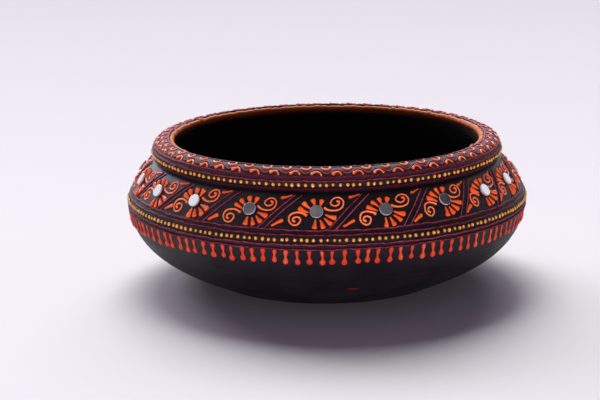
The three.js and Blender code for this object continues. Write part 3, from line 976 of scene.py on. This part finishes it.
fringe_radius = on_outline(fringe_distance)[0].x
draw = random.Random(51)
tassel_strokes = []
for i in range(TASSEL_COUNT):
    middle = 2 * math.pi * (i + 0.5 + draw.uniform(-0.1, 0.1)) / TASSEL_COUNT * fringe_radius / MM
    reach = draw.uniform(0.9, 1.06)
    thick, ball, waist = draw.uniform(0.75, 1.15), draw.uniform(0.8, 1.08), draw.uniform(0.75, 1.35)
    thin = 1 - THINNER_RIGHT * max(0, math.sin(middle * MM / fringe_radius))
    lean = draw.uniform(-0.09, 0.09)
    swing = draw.uniform(-0.35, 0.35)
    stroke = []
    for (up, half), scale in zip(TASSEL, (thick, thick, thick, waist, waist, ball, ball)):
        sway = lean * up + swing * math.sin(math.pi * up / TASSEL_LENGTH)
        stroke.append((middle + sway, up * reach, half * scale * thin))
    tassel_strokes.append(rounded(smooth_path(stroke, 1), 0.7))
tassels = paste_shape()
pipe(tassels, tassel_strokes, 51, 0, fringe_distance, fringe_radius, TASSEL_FLATNESS,
     corners=SMALL_CORNERS)
smear = rounded(smooth_path(SMEAR, 3))
pipe(tassels, [smear], 52, SMEAR_TURN, SMEAR_DISTANCE, None, 0.1, corners=SMALL_CORNERS,
     tone=(-4.6, -4.5))
finish_piece(tassels, "paste_tassels", red, "red_paste", "fringe_line")

# %% [markdown]
# The mirrors are cut from thin silvered glass, so each is a flat disc with a ground edge, not perfectly
# round, and glued a degree or two off the slope of the clay. That tilt decides what each one shows:
# from one place some are white and others grey. A bevel on the top edge gives the ground edge, and the
# attribute named crest tells it from the face.

# %% Mirrors
MIRROR_RADIUS = 3.85
SEAT = 1.1
GLASS = 1.0
GROUND_EDGE = 0.28
GLASS_SIDES = 40
GLASS_TILT = 1.5
GLASS_EDGE_COLOUR = (0.62, 0.62, 0.66, 1)
GLASS_FACE_COLOUR = (0.84, 0.85, 0.88, 1)


def silvered_glass():
    tree, shader, material = new_material("silvered_glass")
    place = add_place(tree)
    haze = add_noise(tree, place, 260.0, 4.0)
    ground = add_range(tree, add_attribute(tree, "crest"), start=0.75, end=0.98)
    rough = add_mixed_number(tree, ground, 0.5, add_range(tree, haze, 0.05, 0.16))
    colour = add_mix(tree, ground, GLASS_EDGE_COLOUR, GLASS_FACE_COLOUR)
    tree.links.new(add_range(tree, ground, 0.35, 1.0), shader.inputs["Metallic"])
    tree.links.new(colour, shader.inputs["Base Color"])
    tree.links.new(rough, shader.inputs["Roughness"])
    swell = add_noise(tree, place, 130.0, 0.0)
    add_bump(tree, shader, add_math(tree, "MULTIPLY_ADD", haze, 0.04, swell), 1.0, 0.3)
    return material


glass = silvered_glass()
for number, (start, distance, *_) in enumerate(flowers, 1):
    draw = random.Random(700 + number)
    point, out = on_outline(distance)
    disc = paste_shape()
    made = bmesh.ops.create_cone(
        disc, cap_ends=True, cap_tris=False, segments=GLASS_SIDES, radius1=MIRROR_RADIUS * MM,
        radius2=MIRROR_RADIUS * MM, depth=GLASS * MM)
    for vert in made["verts"]:
        nip = 1 + 0.018 * noise.noise(Vector((vert.co.x * 400, vert.co.y * 400, number)))
        vert.co.x *= nip
        vert.co.y *= nip
    top = [edge for edge in disc.edges if all(vert.co.z > 0 for vert in edge.verts)]
    bmesh.ops.bevel(
        disc, geom=top, offset=GROUND_EDGE * MM, offset_type="OFFSET", segments=3, profile=0.5,
        affect="EDGES", material=-1)
    face_up = [face for face in disc.faces if face.normal.z > 0.9]
    bmesh.ops.inset_individual(disc, faces=face_up, thickness=0.15 * MM)
    mark_paste(disc, disc.verts, [0] * len(disc.verts))
    up_slope = Matrix.Rotation(start, 4, "Z") @ Matrix.Rotation(math.atan2(out.x, out.z), 4, "X")
    tilt = Matrix.Rotation(math.radians(draw.uniform(-GLASS_TILT, GLASS_TILT)), 4, "X")
    tilt @= Matrix.Rotation(math.radians(draw.uniform(-GLASS_TILT, GLASS_TILT)), 4, "Y")
    radius = point.x + out.x * (SEAT + GLASS / 2) * MM
    high = point.z + out.z * (SEAT + GLASS / 2) * MM
    centre = hand_thrown(turned(radius, start, high))
    bmesh.ops.transform(disc, matrix=Matrix.Translation(centre) @ up_slope @ tilt, verts=disc.verts)
    finish_piece(disc, f"mirror_glass_{number:02d}", glass, "mirror", f"mirror_{number:02d}")

# %% [markdown]
# The floor is one large pale sheet that fills the camera's view, so there is no horizon. A curved
# backdrop would do too, but a sheet keeps the shadow simple. It is a little darker far off, where the
# real backdrop turns away from the light.

# %% Floor
PALE = (0.795, 0.795, 0.785)
PALE_FAR = (0.59, 0.585, 0.60)
NEAR, FAR = 0.1, 1.5
FLOOR_SIZE = 9


def floor_sheet():
    tree, shader, material = new_material("pale_floor")
    back = add_node(tree, "SeparateXYZ", {"Vector": add_place(tree)}).outputs["Y"]
    far = add_range(tree, back, start=NEAR, end=FAR)
    tree.links.new(add_ramp(tree, far, (0.0, PALE), (1.0, PALE_FAR)), shader.inputs["Base Color"])
    set_shader(shader, Roughness=0.75, Specular_IOR_Level=0.2)
    sheet = bmesh.new()
    bmesh.ops.create_grid(sheet, x_segments=1, y_segments=1, size=FLOOR_SIZE)
    mesh = bpy.data.meshes.new("floor")
    sheet.to_mesh(mesh)
    sheet.free()
    mesh.materials.append(material)
    floor = put_in_scene("floor", mesh)


floor_sheet()
print("floor", FLOOR_SIZE * 2, "m across")

# %% [markdown]
# The mirrors and the satin paint show what stands round the bowl: a room with patches of light in it,
# dimmer to the right, and one pale backdrop behind the bowl. Only reflections and the camera see those.
# All other rays get one even violet light, dim enough to leave the shadow dark.

# %% World
ROOM_DARK = (0.090, 0.082, 0.096)
ROOM_LIT = (0.24, 0.225, 0.25)
ROOM_RIGHT = 0.32
BACKDROP_WAY = (-0.33, 0.94, 0.0)
BACKDROP_SEEN = (0.86, 0.84, 0.90, 1)
ROOM_LIGHT = (0.064, 0.047, 0.092, 1)


def studio_world():
    world = bpy.data.worlds.new("studio")
    bpy.context.scene.world = world
    world.use_nodes = True
    tree = world.node_tree
    way = add_node(tree, "TexCoord", {}).outputs["Generated"]
    side = add_node(tree, "VectorMath", {0: way, 1: BACKDROP_WAY}, operation="DOT_PRODUCT")
    pale = add_range(
        tree, side.outputs["Value"], start=0.02, end=0.17, interpolation_type="SMOOTHSTEP")
    across = add_node(tree, "SeparateXYZ", {"Vector": way}).outputs["X"]
    fading = add_range(tree, across, 1.0, ROOM_RIGHT, -0.6, 0.95)
    patches = add_ramp(tree, add_noise(tree, way, 4.5, 1.0), (0.42, ROOM_DARK), (0.62, ROOM_LIT))
    room = add_node(
        tree, "VectorMath", {0: patches, "Scale": fading}, operation="SCALE").outputs["Vector"]
    ray = add_node(tree, "LightPath", {}).outputs
    mirrored = add_math(tree, "MAXIMUM", ray["Is Glossy Ray"], ray["Is Transmission Ray"])
    watched = add_math(tree, "MAXIMUM", mirrored, ray["Is Camera Ray"])
    light = add_mix(tree, watched, ROOM_LIGHT, add_mix(tree, pale, room, BACKDROP_SEEN))
    tree.links.new(light, tree.nodes["Background"].inputs["Color"])
    return world


print("world", len(studio_world().node_tree.nodes), "nodes")

# %% [markdown]
# The light comes from behind the bowl, so the shadow falls towards the camera. Each far panel is a sun
# with a wide disc, which stands for a large soft panel far away: its shadow has soft edges, and it lights
# the whole floor alike. The main one stands a little to the left. Two weaker ones, lower and violet,
# stand to both sides of it, widen the shadow and tint it.

# %% Far lamps
VIOLET = (1.0, 0.89, 1.07)
FAR_PANELS = [
    ("panel_behind", 188, 44, 32, 2.9, (1, 1, 1)),
    ("panel_behind_left", 213, 25, 24, 1.35, VIOLET),
    ("panel_behind_right", 166, 31, 24, 0.8, VIOLET),
]


def far_panel(name, round_by, height, spread, strength, colour):
    """A soft light so far off that only its direction counts, in degrees from the front and up."""
    lamp = bpy.data.lights.new(name, "SUN")
    lamp.energy = strength
    lamp.color = colour
    lamp.angle = math.radians(spread)
    panel = put_in_scene(name, lamp)
    rise = math.radians(height)
    place = turned(math.cos(rise), math.radians(round_by), math.sin(rise))
    panel.rotation_mode = "QUATERNION"
    panel.rotation_quaternion = place.to_track_quat("Z", "Y")
    panel.location = place
    print(name, strength)


for row in FAR_PANELS:
    far_panel(*row)

# %% [markdown]
# A low wide panel in front keeps the paste bright on the near side. It stands so low that it hardly
# lights the floor, and it is hidden from reflections, so the black paint stays black.

# %% Front lamp
FRONT_PLACE = Vector((0.1, -2.0, 0.065))
FRONT_AIM = Vector((0, 0, 0.06))
front = bpy.data.lights.new("panel_front", "AREA")
front.shape = "RECTANGLE"
front.size, front.size_y = 1.8, 0.1
front.energy = 31
panel = put_in_scene("panel_front", front)
panel.location = FRONT_PLACE
panel.rotation_mode = "QUATERNION"
panel.rotation_quaternion = (FRONT_AIM - FRONT_PLACE).to_track_quat("-Z", "Y")
panel.visible_camera = False
panel.visible_glossy = False
print("front lamp", front.energy, "W")

# %% [markdown]
# The camera stands a little above the rim and looks down by 13 degrees through a long lens, so that the
# mouth shows as a narrow ellipse. A focal length of 1900 pixels in a frame 600 pixels wide is a 114 mm
# lens on a 36 mm sensor.

# %% Camera
CAMERA_PLACE = (0, -1.1729, 0.3254)
FOCAL_LENGTH = 114
CAMERA_DOWN, CAMERA_LEFT, CAMERA_ROLL = (math.radians(value) for value in (13.36, 0.83, 0.70))


def place_camera():
    forward = Vector((
        -math.sin(CAMERA_LEFT) * math.cos(CAMERA_DOWN),
        math.cos(CAMERA_LEFT) * math.cos(CAMERA_DOWN),
        -math.sin(CAMERA_DOWN),
    ))
    right = Vector((math.cos(CAMERA_LEFT), math.sin(CAMERA_LEFT), 0))
    upward = right.cross(forward)
    level = right * math.cos(CAMERA_ROLL) - upward * math.sin(CAMERA_ROLL)
    raised = right * math.sin(CAMERA_ROLL) + upward * math.cos(CAMERA_ROLL)
    turn = Matrix((level, raised, -forward)).transposed().to_4x4()
    lens = bpy.data.cameras.new("camera")
    lens.lens = FOCAL_LENGTH
    lens.sensor_width = 36
    lens.clip_start = 0.05
    camera = put_in_scene("camera", lens)
    camera.matrix_world = Matrix.Translation(CAMERA_PLACE) @ turn
    bpy.context.scene.camera = camera
    print("camera", [round(value, 3) for value in camera.matrix_world.translation])


place_camera()
bpy.context.scene.view_settings.view_transform = "Standard"
